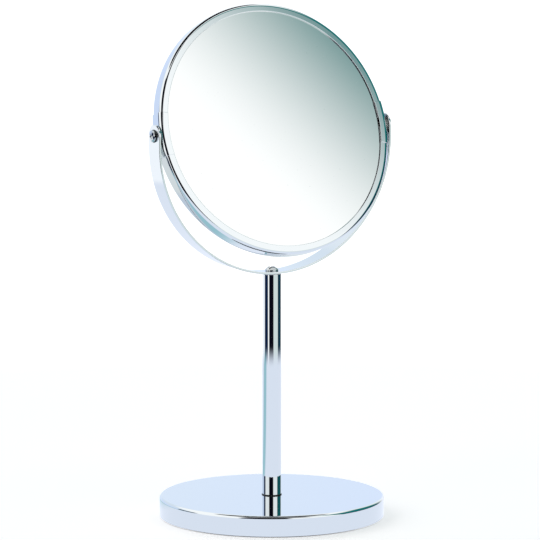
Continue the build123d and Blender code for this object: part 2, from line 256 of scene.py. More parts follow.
def make_piece(name, points, faces, body, nodes, finishes, extra=()):
    """An object from an array of points and an array of quads, its doubles merged, its faces
    turned outwards, smooth but for its sharp edges. It replaces the named nodes."""
    mesh = bpy.data.meshes.new(name)
    mesh.from_pydata(points.reshape(-1, 3), [], [*faces.tolist(), *extra])
    work = bmesh.new()
    work.from_mesh(mesh)
    bmesh.ops.remove_doubles(work, verts=work.verts, dist=1e-7)
    bmesh.ops.dissolve_degenerate(work, edges=work.edges, dist=1e-8)
    bmesh.ops.recalc_face_normals(work, faces=work.faces)
    work.to_mesh(mesh)
    work.free()
    mesh.shade_smooth()
    mesh.set_sharp_from_angle(angle=SHARP_EDGE)
    piece = bpy.data.objects.new(name, mesh)
    bpy.context.scene.collection.objects.link(piece)
    for finish in finishes:
        mesh.materials.append(finish_named(finish))
    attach(piece, body)
    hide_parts(*nodes)
    return piece


def rounded_outline(corners, radii, steps=8, closed=True):
    """Points along straight runs whose corners are rounded to tangent arcs: each arc's centre
    lies on the corner's bisector. A short support run at each end keeps the flats flat."""
    corners = np.array(corners, float)
    last = len(corners) - 1
    points = []
    for i, (corner, radius) in enumerate(zip(corners, radii)):
        before = corners[i - 1] - corner
        after = corners[(i + 1) % len(corners)] - corner
        before = before / np.linalg.norm(before)
        after = after / np.linalg.norm(after)
        at_end = not closed and i in (0, last)
        if radius <= 0 or at_end:
            if closed or i > 0:
                points.append(corner + before * SUPPORT)
            points.append(corner)
            if closed or i < last:
                points.append(corner + after * SUPPORT)
            continue
        half = math.acos(np.clip(before @ after, -1, 1)) / 2
        reach = radius / math.tan(half)
        bisector = (before + after) / np.linalg.norm(before + after)
        centre = corner + bisector * radius / math.sin(half)
        start = corner + before * reach - centre
        end = corner + after * reach - centre
        turn = math.pi - 2 * half
        share_of_turn = np.linspace(0, turn, steps + 1)
        arc = (np.sin(turn - share_of_turn)[:, None] * start
               + np.sin(share_of_turn)[:, None] * end) / math.sin(turn)
        points.append(corner + before * (reach + SUPPORT))
        points.extend(centre + arc)
        points.append(corner + after * (reach + SUPPORT))
    return np.array(points)


def ring_outline(inner, outer, bottom, top, edge, steps, closed=True):
    """Section of a ring, or of a disc when its inner radius is 0, with its outer edges rounded."""
    return rounded_outline([(inner, bottom), (outer, bottom), (outer, top), (inner, top)],
                           [0, edge, edge, 0], steps=steps, closed=closed)


def turned(profile, turns, axes=None, origin=(0, 0, 0)):
    """A profile of radius and height turned about an axis: each point goes round a circle of
    its radius at its height. The axes are two across the axis of turning and the axis itself."""
    across, over, along = np.eye(3) if axes is None else np.array(axes, float)
    around = np.linspace(0, 2 * math.pi, turns, endpoint=False)
    ring = np.cos(around)[:, None] * across + np.sin(around)[:, None] * over
    return (np.array(origin, float)
            + profile[None, :, :1] * ring[:, None, :]
            + profile[None, :, 1:2] * along)


def turned_piece(name, profile, body, node, finish, turns=192, axes=None,
                 origin=(0, 0, 0), closed=True):
    """A piece whose profile is turned all the way round. A profile that isn't closed starts and
    ends on the axis, where its points merge to a pole."""
    points = turned(profile, turns, axes, origin)
    faces = grid_faces(*points.shape[:2], wrap_rows=True, wrap_columns=closed)
    make_piece(name, points, faces, body, [node], [finish])


def head_axes(head):
    """Directions of the leaning head: to the right, up along the glass, and out to the front."""
    right = np.array([1.0, 0.0, 0.0])
    up = np.array([0.0, math.sin(head.tilt), math.cos(head.tilt)])
    front = np.array([0.0, -math.cos(head.tilt), math.sin(head.tilt)])
    return right, up, front


def along_rim(section, start, end, stations, axes, edge):
    """A section of radius and depth carried round the head from one angle to another: each
    station lies in a plane through the head's axis. At both ends the section shrinks inwards
    along its own normals by a quarter circle, which rounds the cut edges."""
    right, up, front = axes
    turn = np.linspace(0, math.pi / 2, 4)
    radius = section[:, 0].max()
    step_in = np.append(edge * (1 - np.cos(turn)), edge + SUPPORT) / radius
    shrink = np.append(edge * (1 - np.sin(turn)), 0.0)
    around = np.concatenate([start + step_in,
                             np.linspace(start + step_in[-1], end - step_in[-1], stations)[1:-1],
                             end - step_in[::-1]])
    shrink = np.concatenate([shrink, np.zeros(stations - 2), shrink[::-1]])
    run = np.roll(section, -1, axis=0) - np.roll(section, 1, axis=0)
    normal = np.stack([run[:, 1], -run[:, 0]], axis=-1)
    normal = normal / np.linalg.norm(normal, axis=1, keepdims=True)
    inwards = np.sign(np.sum(section[:, 0] * np.roll(section[:, 1], -1)
                             - section[:, 1] * np.roll(section[:, 0], -1)))
    shaped = section[None] - inwards * shrink[:, None, None] * normal[None]
    outward = np.cos(around)[:, None] * right + np.sin(around)[:, None] * up
    return (np.array(PIVOT)
            + shaped[:, :, :1] * outward[:, None, :]
            + shaped[:, :, 1:2] * front)


# Materials

def add(tree, kind, settings=None, **inputs):
    """Add a node to a tree. Settings are its own properties; each input is a number, a colour or
    the output that feeds it, and names hold underscores for spaces."""
    node = tree.nodes.new(kind)
    for key, value in (settings or {}).items():
        setattr(node, key, value)
    for key, value in inputs.items():
        place = int(key[1:]) if key[0] == "i" and key[1:].isdigit() else key.replace("_", " ")
        if isinstance(value, bpy.types.NodeSocket):
            tree.links.new(value, node.inputs[place])
        else:
            node.inputs[place].default_value = value
    return node


def new_material(name, **values):
    """A material with a Principled shader, and its tree, shader and Object coordinates."""
    material = bpy.data.materials.new(name)
    material.use_nodes = True
    tree = material.node_tree
    shader = tree.nodes["Principled BSDF"]
    for key, value in values.items():
        shader.inputs[key.replace("_", " ")].default_value = value
    place = add(tree, "ShaderNodeTexCoord").outputs["Object"]
    return material, tree, shader, place


def noise(tree, place, size, detail, **inputs):
    """Noise whose features are about this size, in metres."""
    return add(tree, "ShaderNodeTexNoise", Vector=place, Scale=1.0 / size, Detail=detail,
               **inputs).outputs[0]


def spread(tree, value, low, high, start=0.0, end=1.0):
    """The value, taken from its start to its end, spread between two limits."""
    return add(tree, "ShaderNodeMapRange", i0=value, i1=start, i2=end, i3=low, i4=high).outputs[0]


def mixed(tree, factor, first, second):
    """A blend of two colours by a factor."""
    node = add(tree, "ShaderNodeMix", {"data_type": "RGBA"}, i0=factor, i6=first, i7=second)
    return node.outputs[2]


def scaled(shade, amount):
    """A colour made lighter or darker by a factor."""
    return (*(min(1.0, channel * amount) for channel in shade[:3]), 1.0)


def shaded(tree, shader, pattern, first, second, smooth, rough):
    """Colour from first to second, and roughness from smooth to rough, by the same pattern."""
    tree.links.new(mixed(tree, pattern, first, second), shader.inputs["Base Color"])
    tree.links.new(spread(tree, pattern, smooth, rough), shader.inputs["Roughness"])


def bumped(tree, shader, pattern, depth):
    """Fine relief that follows a pattern, of this depth in metres."""
    bump = add(tree, "ShaderNodeBump", Height=pattern, Distance=depth)
    tree.links.new(bump.outputs[0], shader.inputs["Normal"])


def plated(name, shade, roughness, waves, depth):
    """Bright chromium plate over polished steel. It shows the room nearly as a mirror does,
    with the slight waviness of buffed sheet and a faint haze where hands wipe it."""
    material, tree, shader, place = new_material(name, Metallic=1.0)
    haze = noise(tree, place, 45 * MM, 4.0)
    shaded(tree, shader, haze, scaled(shade, 0.985), shade, roughness * 0.6, roughness * 1.6)
    bumped(tree, shader, noise(tree, place, waves, 1.0), depth)
    return material


def silvered_glass(finish):
    """Float glass silvered behind. It is flatter and cleaner than any plate, with the faint
    green of the glass and a little dust."""
    material, tree, shader, place = new_material("back_silvered_glass", Metallic=1.0)
    specks = spread(tree, noise(tree, place, 1.1 * MM, 2.0), 0.0, 0.35, start=0.735, end=0.77)
    shaded(tree, shader, specks, finish.silver, finish.dust, 0.0, 0.25)
    return material


def ground_glass(finish):
    """Edge of float glass, ground with a fine wheel: pale green and matt."""
    material, tree, shader, place = new_material("ground_glass_edge", IOR=1.52)
    grit = noise(tree, place, 0.4 * MM, 3.0)
    shaded(tree, shader, grit, scaled(finish.glass_edge, 0.8), finish.glass_edge, 0.35, 0.55)
    return material


def mirror_paint(finish):
    """Grey paint rolled over the silver: satin, with a slight roller texture."""
    material, tree, shader, place = new_material("mirror_back_paint", IOR=1.5)
    roll = noise(tree, place, 1.5 * MM, 3.0)
    shaded(tree, shader, roll, scaled(finish.mirror_paint, 0.85), finish.mirror_paint, 0.4, 0.6)
    bumped(tree, shader, roll, 0.02 * MM)
    return material


def zinc_plate(finish):
    """Zinc plate on turned and pressed steel: soft grey, cloudy, with fine grain."""
    material, tree, shader, place = new_material("zinc_plated_steel", Metallic=1.0)
    cloud = noise(tree, place, 6 * MM, 5.0)
    shaded(tree, shader, cloud, scaled(finish.zinc, 0.7), finish.zinc, 0.25, 0.5)
    bumped(tree, shader, noise(tree, place, 0.5 * MM, 2.0), 0.01 * MM)
    return material


def moulded_plastic(name, shade, smooth, rough):
    """Injection-moulded plastic with a fine spark-eroded grain."""
    material, tree, shader, place = new_material(name, IOR=1.5)
    grain = noise(tree, place, 0.7 * MM, 3.0)
    shaded(tree, shader, grain, scaled(shade, 0.85), shade, smooth, rough)
    bumped(tree, shader, grain, 0.015 * MM)
    return material


def foam_rubber(finish):
    """Closed-cell foam rubber: dull, with small open cells at its cut faces."""
    material, tree, shader, place = new_material("foam_rubber", IOR=1.45, Roughness=0.85)
    cells = add(tree, "ShaderNodeTexVoronoi", Vector=place, Scale=1.0 / (0.6 * MM)).outputs[0]
    tone = mixed(tree, cells, scaled(finish.foam, 0.5), finish.foam)
    tree.links.new(tone, shader.inputs["Base Color"])
    bumped(tree, shader, cells, 0.08 * MM)
    return material


def grey_card(finish):
    """Recycled grey board: matt, with short fibres."""
    material, tree, shader, place = new_material("grey_card", IOR=1.4, Roughness=0.9)
    fibre = noise(tree, place, 0.9 * MM, 6.0, Distortion=1.5)
    tone = mixed(tree, fibre, scaled(finish.card, 0.7), finish.card)
    tree.links.new(tone, shader.inputs["Base Color"])
    return material


def finish_named(name):
    """The material of that name, made on first use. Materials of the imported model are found
    by name too, so a finish must not share a name with one that it replaces."""
    found = bpy.data.materials.get(name)
    if found:
        return found
    finish = bpy.context.scene.mirror_finishes
    makers = {
        "chromium_plate": lambda: plated("chromium_plate", finish.chrome,
                                         finish.chrome_roughness, 25 * MM, 0.006 * MM),
        # The screws' plate is chrome darkened as painted shade, for the dark room that the domes show.
        "plated_screw": lambda: plated("plated_screw", finish.screw, 0.06, 1.5 * MM, 0.004 * MM),
        "back_silvered_glass": lambda: silvered_glass(finish),
        "ground_glass_edge": lambda: ground_glass(finish),
        "mirror_back_paint": lambda: mirror_paint(finish),
        "zinc_plated_steel": lambda: zinc_plate(finish),
        "black_acetal": lambda: moulded_plastic("black_acetal", finish.black, 0.3, 0.45),
        "white_nylon": lambda: moulded_plastic("white_nylon", finish.nylon, 0.35, 0.5),
        "foam_rubber": lambda: foam_rubber(finish),
        "grey_card": lambda: grey_card(finish),
    }
    return makers[name]()


# Operators, one for each piece or group of like pieces

class MIRROR_OT_foot(bpy.types.Operator):
    """Make the foot's chromed shell and its pad"""

    bl_idname = "mirror.foot"
    bl_label = "Foot"

    def execute(self, context):
        foot = context.scene.mirror_foot
        inner = foot.foot_radius - foot.sheet
        ceiling = foot.foot_top - foot.sheet
        profile = rounded_outline(
            [(foot.bolt_hole, foot.foot_top), (foot.foot_radius, foot.foot_top),
             (foot.foot_radius, foot.foot_bottom), (inner, foot.foot_bottom),
             (inner, ceiling), (foot.bolt_hole, ceiling)],
            [0, foot.edge_radius, foot.hem_radius, 0, foot.edge_radius - foot.sheet, 0],
            steps=14)
        turned_piece("foot_shell", profile, "base", "base_shell", "chromium_plate",
                     turns=288)
        low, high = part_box("base_pad")
        pad = ring_outline(0, foot.pad_radius, low.z, high.z, foot.pad_edge, steps=4,
                           closed=False)
        turned_piece("foot_pad", pad, "base", "base_pad", "foam_rubber",
                     closed=False)
        return {"FINISHED"}


class MIRROR_OT_post(bpy.types.Operator):
    """Make the post's tube and the ring at its foot"""

    bl_idname = "mirror.post"
    bl_label = "Post"

    def execute(self, context):
        foot = context.scene.mirror_foot
        low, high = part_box("post_tube")
        profile = ring_outline(foot.post_radius - foot.post_wall, foot.post_radius, low.z, high.z,
                               foot.post_edge, steps=5)
        turned_piece("post", profile, "base", "post_tube", "chromium_plate", turns=160)
        low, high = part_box("post_ring")
        profile = ring_outline(foot.bolt_hole, high.x, low.z, high.z, foot.ring_edge, steps=4)
        turned_piece("ring_under_post", profile, "base", "post_ring",
                     "black_acetal", turns=128)
        return {"FINISHED"}


def yoke_stations(yoke, bend, end):
    """Stations down one side of the developed strip, closer together at its three holes. The
    bend and the end are distances along the strip from its middle."""
    around = np.sin(np.linspace(-math.pi / 2, math.pi / 2, 33))
    holes = [around * yoke.screw_hole]
    for sign in SIDES.values():
        holes.append(sign * end + around * yoke.pivot_hole)
    spaced = np.linspace(-bend, bend, 361)
    arms = np.linspace(bend, end, 7)
    spots = np.linspace(-yoke.spot_radius, yoke.spot_radius, 41)
    stations = np.concatenate([spaced, arms, -arms, spots, *holes])
    stations = np.unique(np.round(stations, 8))
    return stations[np.abs(stations) <= end + 1e-9]


def yoke_surface(yoke):
    """The strip, worked out flat and then bent. Flat, each point of its outline is joined to
    the strip's middle line, or to the wall of a hole, by a line over its upper face and one
    under its lower face, with the rounded edge between. Bent, the distance along the strip
    turns into an angle round the bend, and beyond it into height up the straight arms."""
    half = yoke.strip_width / 2
    bend = yoke.outer_radius * math.pi / 2
    end = bend + yoke.arm_rise
    side = yoke_stations(yoke, bend, end)
    reach = np.zeros_like(side)
    for middle, radius in ((0, yoke.screw_hole), (end, yoke.pivot_hole), (-end, yoke.pivot_hole)):
        inside = np.clip(radius ** 2 - (side - middle) ** 2, 0, None)
        reach = np.maximum(reach, np.sqrt(inside))
    cap = np.linspace(math.pi / 2, -math.pi / 2, 61)[1:-1]
    hole = np.full(cap.shape, yoke.pivot_hole)
    flat, level = np.zeros_like(side), np.ones_like(side)
    anchor = np.concatenate([side, np.full(cap.shape, end), side[::-1], np.full(cap.shape, -end)])
    way = np.stack([np.concatenate([flat, np.cos(cap), flat, -np.cos(cap)]),
                    np.concatenate([level, np.sin(cap), -level, -np.sin(cap)])], axis=-1)
    inner = np.concatenate([reach, hole, reach[::-1], hole])
    turn = np.linspace(0, math.pi / 2, 7)
    edge = yoke.edge_radius
    out = np.concatenate([[half - edge - SUPPORT], half - edge + edge * np.sin(turn),
                          half - edge + edge * np.cos(turn), [half - edge - SUPPORT]])
    depth = np.concatenate([[0], edge - edge * np.cos(turn),
                            yoke.thickness - edge + edge * np.sin(turn), [yoke.thickness]])
    out = np.hstack([inner[:, None], np.tile(out, (len(inner), 1)), inner[:, None]])
    depth = np.concatenate([[0], depth, [yoke.thickness]])
    along = anchor[:, None] + way[:, :1] * out
    across = way[:, 1:] * out
    radius = yoke.outer_radius - depth[None, :]
    middle = PIVOT.z - yoke.arm_rise
    curved = np.clip(along, -bend, bend) / yoke.outer_radius
    rise = np.clip(np.abs(along) - bend, 0, None)
    x = radius * np.sin(curved)
    z = middle - radius * np.cos(curved) + rise
    lowest = middle - yoke.outer_radius
    z = np.maximum(z, lowest + yoke.seat_depth)
    spot = lowest + yoke.thickness - yoke.spot_depth
    z = np.where(np.hypot(x, across) <= yoke.spot_radius, np.minimum(z, spot), z)
    points = np.stack([x, across, z], axis=-1)
    return points, inner


class MIRROR_OT_yoke(bpy.types.Operator):
    """Bend the yoke from flat strip with full-round ends"""

    bl_idname = "mirror.yoke"
    bl_label = "Yoke"

    def execute(self, context):
        points, inner = yoke_surface(context.scene.mirror_yoke)
        rows, columns = points.shape[:2]
        faces = grid_faces(rows, columns, wrap_rows=True)
        first = np.arange(rows) * columns
        following = np.roll(first, -1)
        drilled = np.maximum(inner, np.roll(inner, -1)) > 0
        walls = np.stack([first, following, following + columns - 1, first + columns - 1], axis=-1)
        faces = np.vstack([faces, walls[drilled]])
        make_piece("bent_yoke", points, faces, "yoke", ["yoke"], ["chromium_plate"])
        return {"FINISHED"}


def screw_surface(kind, shank_length, turns=96):
    """A screw turned about its axis, its height the second coordinate: a dome on a short
    cylinder, its shank below, and a cross recess where the dome is pressed down to a floor
    inside two crossed slots."""
    sizes = bpy.context.scene.mirror_screws
    shank, head, height, side, span, slot, recess = (
        getattr(sizes, f"{kind}_{key}")
        for key in ("shank", "head", "height", "side", "span", "slot", "recess"))
    dome_rise = height - side
    dome_radius = (head ** 2 + dome_rise ** 2) / (2 * dome_rise)
    reach = head * np.linspace(0, 1, 56)
    dome = side + np.sqrt(dome_radius ** 2 - reach ** 2) - (dome_radius - dome_rise)
    seat_edge, tip_edge = side * 0.25, shank * 0.2
    under = rounded_outline([(head, side), (head, 0), (shank, 0), (shank, -shank_length),
                             (0, -shank_length)], [0, seat_edge, 0, tip_edge, 0], steps=4,
                            closed=False)
    profile = np.vstack([np.stack([reach, dome], axis=-1), under])
    around = np.linspace(0, 2 * math.pi, turns, endpoint=False)[:, None]
    x = profile[None, :, 0] * np.cos(around)
    y = profile[None, :, 0] * np.sin(around)
    z = np.tile(profile[None, :, 1], (turns, 1))
    across = np.maximum(np.abs(x) - slot / 2, np.abs(y) - span / 2)
    over = np.maximum(np.abs(y) - slot / 2, np.abs(x) - span / 2)
    pressed = np.clip(0.5 - np.minimum(across, over) / RECESS_WALL, 0, 1)
    pressed = pressed * (np.arange(profile.shape[0]) < len(reach))[None, :]
    z = z * (1 - pressed) + (height - recess) * pressed
    return np.stack([x, y, z], axis=-1)


def place_screw(name, surface, origin, axes, body, node):
    """Stand a screw's surface on its seat, with its own height along the last axis."""
    points = np.array(origin, float) + surface @ np.array(axes, float)
    faces = grid_faces(*points.shape[:2], wrap_rows=True)
    make_piece(name, points, faces, body, [node], ["plated_screw"])


class MIRROR_OT_screws(bpy.types.Operator):
    """Make the domed screws of the yoke and the pivots"""

    bl_idname = "mirror.screws"
    bl_label = "Screws"

    def execute(self, context):
        sizes = context.scene.mirror_screws
        low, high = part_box("yoke_screw")
        seat = high.z - sizes.yoke_height
        place_screw("screw_of_yoke", screw_surface("yoke", seat - low.z), (0, 0, seat),
                    np.eye(3), "base", "yoke_screw")
        cos, sin = math.cos(sizes.pivot_turn), math.sin(sizes.pivot_turn)
        for side, sign in SIDES.items():
            low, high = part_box(f"pivot_screw_{side}")
            inner, outer = sorted((abs(low.x), abs(high.x)))
            seat = outer - sizes.pivot_height
            axes = [(0, sign * cos, sin), (0, -sign * sin, cos), (sign, 0, 0)]
            place_screw(f"screw_of_pivot_{side}", screw_surface("pivot", seat - inner),
                        (sign * seat, 0, PIVOT.z), axes, "head", f"pivot_screw_{side}")
        return {"FINISHED"}


class MIRROR_OT_washers(bpy.types.Operator):
    """Make the washers inside and outside the yoke's arms"""

    bl_idname = "mirror.washers"
    bl_label = "Washers"

    def execute(self, context):
        yoke = context.scene.mirror_yoke
        finishes = {"inner": ("white_plastic", "white_nylon"),
                    "outer": ("black_plastic", "black_acetal")}
        for place, (slot, finish) in finishes.items():
            for side in SIDES:
                node = f"pivot_{place}_washer_{side}"
                low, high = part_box(node)
                profile = ring_outline(yoke.pivot_hole, (high.z - low.z) / 2, low.x, high.x,
                                       yoke.washer_edge, steps=3)
                turned_piece(f"washer_{place}_{side}", profile, "yoke", node, finish,
                             turns=96, axes=[(0, 1, 0), (0, 0, 1), (1, 0, 0)],
                             origin=(0, 0, PIVOT.z))
        return {"FINISHED"}


def channel(head, radius, front, sheet, bend, lip_radius, hem):
    """Section of a bent channel in radius and depth, open towards the head's middle, its back
    half the mirror image of its front half. With a hem its lips turn down to the glass."""
    cut = head.cut_edge
    outside = [(lip_radius, front), (radius, front)]
    inside = [(lip_radius, front - sheet), (radius - sheet, front - sheet)]
    radii = [cut, bend]
    inside_radii = [cut, bend - sheet]
    if hem:
        glass = front - head.lip_depth
        lip = lip_radius + sheet
        outside = [(lip_radius, glass), *outside]
        inside = [(lip, glass), (lip, front - sheet), inside[-1]]
        radii = [cut, hem, bend]
        inside_radii = [cut, 0, bend - sheet]
    corners = [*outside, *((r, -depth) for r, depth in reversed(outside)),
               *((r, -depth) for r, depth in inside), *reversed(inside)]
    radii = [*radii, *reversed(radii), *inside_radii, *reversed(inside_radii)]
    return rounded_outline(corners, radii, steps=12)


def channel_piece(name, section, start, end, stations, axes, edge, node):
    """A channel carried round part of the head, with both ends closed."""
    points = along_rim(section, start, end, stations, axes, edge)
    rows, columns = points.shape[:2]
    faces = grid_faces(rows, columns, wrap_columns=True)
    last = (rows - 1) * columns
    ends = [tuple(range(columns)), tuple(range(last, last + columns))]
    make_piece(name, points, faces, "head", [node], ["chromium_plate"], extra=ends)


class MIRROR_OT_rim(bpy.types.Operator):
    """Make the two halves of the rim"""

    bl_idname = "mirror.rim"
    bl_label = "Rim"

    def execute(self, context):
        head = context.scene.mirror_head
        axes = head_axes(head)
        section = channel(head, head.rim_radius, head.rim_width / 2, head.rim_sheet,
                          head.corner_radius, head.rim_radius - head.lip_width, head.hem_radius)
        gap = math.asin(head.rim_gap / 2 / head.rim_radius)
        for half, start in {"upper": 0.0, "lower": math.pi}.items():
            channel_piece(f"rim_half_{half}", section, start + gap, start + math.pi - gap, 181,
                          axes, head.cut_edge, f"rim_{half}")
        return {"FINISHED"}


class MIRROR_OT_sleeves(bpy.types.Operator):
    """Make the sleeves over the joints of the rim"""

    bl_idname = "mirror.sleeves"
    bl_label = "Sleeves"

    def execute(self, context):
        head = context.scene.mirror_head
        axes = head_axes(head)
        sheet, play = head.sleeve_sheet, head.sleeve_play
        radius = head.rim_radius + play + sheet
        section = channel(head, radius, head.rim_width / 2 + play + sheet, sheet,
                          head.corner_radius + sheet,
                          head.rim_radius - head.lip_width + head.sleeve_setback, 0)
        half = head.sleeve_length / radius / 2
        for side, sign in SIDES.items():
            middle = 0.0 if sign > 0 else math.pi
            channel_piece(f"rim_sleeve_{side}", section, middle - half, middle + half, 41, axes,
                          head.cut_edge, f"sleeve_{side}")
        return {"FINISHED"}


def mirror_piece(name, front, back, axes, node):
    """A disc of silvered glass between two faces, each given as depth at a radius: the front
    face is silvered, the edge is ground and the back is painted."""
    head = bpy.context.scene.mirror_head
    chamfer = head.glass_chamfer
    reach = np.concatenate([np.linspace(0, head.glass_radius - 2 * chamfer, 40),
                            [head.glass_radius - chamfer]])
    sign = np.sign(front(0) - back(0))
    edge = np.array([[head.glass_radius, front(head.glass_radius) - sign * chamfer],
                     [head.glass_radius, back(head.glass_radius) + sign * chamfer]])
    profile = np.vstack([np.stack([reach, front(reach)], axis=-1), edge,
                         np.stack([reach, back(reach)], axis=-1)[::-1]])
    points = turned(profile, 192, axes, PIVOT)
    quads = grid_faces(*points.shape[:2], wrap_rows=True)
    piece = make_piece(name, points, quads, "head", [node],
                       ["back_silvered_glass", "ground_glass_edge", "mirror_back_paint"])
    faces = piece.data.polygons
    normals = np.zeros(len(faces) * 3)
    faces.foreach_get("normal", normals)
    outwards = normals.reshape(-1, 3) @ axes[2] * sign
    index = np.where(outwards > FACING, 0, np.where(outwards < -FACING, 2, 1))
    faces.foreach_set("material_index", index.astype(np.int32))


class MIRROR_OT_mirrors(bpy.types.Operator):
    """Make the plain mirror and the magnifying mirror"""

    bl_idname = "mirror.mirrors"
    bl_label = "Mirrors"

    def execute(self, context):
        head = context.scene.mirror_head
        axes = head_axes(head)
        glass_front = head.rim_width / 2 - head.lip_depth
        mirror_piece("mirror_plain", lambda r: glass_front + 0 * r,
                     lambda r: glass_front - head.glass_thickness + 0 * r, axes, "plain_mirror")
        seat = head.rim_radius - head.lip_width + head.rim_sheet
        centre = -glass_front - math.sqrt(head.curvature ** 2 - seat ** 2)
        hidden = head.curvature + head.glass_thickness
        mirror_piece("mirror_magnifying",
                     lambda r: centre + np.sqrt(head.curvature ** 2 - np.square(r)),
                     lambda r: centre + np.sqrt(hidden ** 2 - np.square(r)), axes,
                     "magnifying_mirror")
        return {"FINISHED"}


class MIRROR_OT_inside(bpy.types.Operator):
    """Give the pieces that keep their solids their finishes"""

    bl_idname = "mirror.inside"
    bl_label = "Inside Pieces"

    def execute(self, context):
        finishes = {"steel": "zinc_plated_steel", "black_plastic": "black_acetal",
                    "white_plastic": "white_nylon", "foam_rubber": "foam_rubber",
                    "card": "grey_card"}
        for part in frame["record"]["subparts"]:
            node = NODES[part["node"]]
            if node.hide_render:
                continue
            node.data.materials.clear()
            node.data.materials.append(finish_named(finishes[part["material_slot"]]))
        return {"FINISHED"}


# Studio

def smooth_step(tree, value, low, high):
    """A soft step from 0 to 1 as the value goes from low to high."""
    node = add(tree, "ShaderNodeMapRange", {"interpolation_type": "SMOOTHSTEP"}, i0=value,
               i1=low, i2=high, i3=0.0, i4=1.0)
    return node.outputs[0]


def calculated(tree, operation, first, second=0.0):
    """One step of arithmetic."""
    return add(tree, "ShaderNodeMath", {"operation": operation}, i0=first, i1=second).outputs[0]


def opaque(shade):
    """A colour with its alpha."""
    return (*shade, 1.0)


def product(tree, first, *others):
    """Numbers multiplied together."""
    for other in others:
        first = calculated(tree, "MULTIPLY", first, other)
    return first


def azimuth_ramp(tree, azimuth, stops):
    """Colours round the horizon, from pairs of an azimuth in degrees and a colour."""
    turn = add(tree, "ShaderNodeMapRange", i0=azimuth, i1=-math.pi, i2=math.pi).outputs[0]
    ramp = add(tree, "ShaderNodeValToRGB", Fac=turn)
    elements = ramp.color_ramp.elements
    for i, (degrees, shade) in enumerate(stops):
        place = (degrees + 180) / 360
        element = elements[i] if i < 2 else elements.new(place)
        element.position = place
        element.color = opaque(shade)
    return ramp.outputs[0]


WHITE = (1.0, 1.0, 1.0)
COOL_WHITE = (0.93, 0.95, 1.0)
BLUE_LEFT = (0.63, 0.72, 0.92)
BLUE_RIGHT = (0.68, 0.76, 0.86)
GREY_GREEN = (0.66, 0.73, 0.71)
NAVY = (0.004, 0.014, 0.05)
BLACK = (0.003, 0.003, 0.008)
DEEP_TEAL = (0.006, 0.035, 0.06)
TEAL = (0.01, 0.17, 0.165)
TABLE_BLUE = (0.83, 0.88, 1.0)
TABLE_TEAL = (0.36, 0.60, 0.68)

# Colours round the room below the horizon, by azimuth in degrees, with 0 in front of the mirror.
LOWEST_BAND = (
    (-180, COOL_WHITE), (-128, COOL_WHITE), (-119, NAVY), (-79, NAVY), (-74, WHITE),
    (-64, WHITE), (-59, BLACK), (-11, BLACK), (-5, GREY_GREEN), (60, GREY_GREEN),
    (140, WHITE), (180, COOL_WHITE))
# Each next band up: the heights between which it takes over, and its colours. A height is the
# sine of the elevation.
BANDS_ABOVE = (
    (-0.09, -0.03, (
        (-180, BLUE_LEFT), (-142, BLUE_LEFT), (-138, NAVY), (-116, NAVY), (-110, WHITE),
        (-64, WHITE), (-60, BLACK), (-14, BLACK), (-8, WHITE), (120, WHITE),
        (145, BLUE_LEFT), (155, BLUE_RIGHT), (180, BLUE_LEFT))),
    (0.22, 0.32, (
        (-180, BLUE_RIGHT), (-150, BLUE_RIGHT), (-120, WHITE), (-66, WHITE), (-60, BLACK),
        (-15, BLACK), (-7, WHITE), (120, WHITE), (145, BLUE_RIGHT), (180, BLUE_RIGHT))),
    (0.48, 0.60, (
        (-180, WHITE), (-66, WHITE), (-60, BLACK), (14, BLACK), (22, WHITE), (180, WHITE))),
)
# The bright ceiling, and the black screen in its middle, each by the heights that it starts at.
CEILING = (0.79, 0.82)
SCREEN_OVERHEAD = (0.85, 0.88)
# The teal wall: the direction it lies in, the soft edge across that direction, its ends round
# the room in degrees, the height where it stops, and where its colour turns from deep to light.
WALL_WAY = (0.660, 0.637, 0.399)
WALL_EDGE = (0.0120, 0.0705)
WALL_START = (0.0, 0.3)
WALL_END = (math.radians(132), math.radians(104))
WALL_TOP = (0.80, 0.65)
WALL_LIGHTENS = (0.10, 0.30)


def studio_world(scene):
    """The room that the chrome shows: a white tent in bands of height, open to a black screen
    at the camera and another overhead, with a dark blue one at its left and a dark teal wall
    at its right, whose soft edge is what the plain mirror shows. The camera itself sees white."""
    world = bpy.data.worlds.new("studio")
    scene.world = world
    world.use_nodes = True
    tree = world.node_tree
    way = add(tree, "ShaderNodeTexCoord").outputs["Generated"]
    axis = add(tree, "ShaderNodeSeparateXYZ", Vector=way)
    toward = product(tree, axis.outputs[1], -1.0)
    azimuth = calculated(tree, "ARCTAN2", axis.outputs[0], toward)
    height = axis.outputs[2]
    room = azimuth_ramp(tree, azimuth, LOWEST_BAND)
    for low, high, stops in BANDS_ABOVE:
        band = azimuth_ramp(tree, azimuth, stops)
        room = mixed(tree, smooth_step(tree, height, low, high), room, band)
    room = mixed(tree, smooth_step(tree, height, *CEILING), room, opaque(WHITE))
    across = add(tree, "ShaderNodeVectorMath", {"operation": "DOT_PRODUCT"}, i0=way, i1=WALL_WAY)
    wall = product(tree, smooth_step(tree, across.outputs["Value"], *WALL_EDGE),
                   smooth_step(tree, azimuth, *WALL_START), smooth_step(tree, azimuth, *WALL_END),
                   smooth_step(tree, height, *WALL_TOP))
    teal = mixed(tree, smooth_step(tree, height, *WALL_LIGHTENS), opaque(DEEP_TEAL), opaque(TEAL))
    room = mixed(tree, wall, room, teal)
    room = mixed(tree, smooth_step(tree, height, *SCREEN_OVERHEAD), room, opaque(BLACK))
    path = add(tree, "ShaderNodeLightPath")
    seen = mixed(tree, path.outputs["Is Camera Ray"], room, opaque(WHITE))
    tree.links.new(seen, tree.nodes["Background"].inputs["Color"])
    tree.nodes["Background"].inputs["Strength"].default_value = scene.mirror_studio.room_light


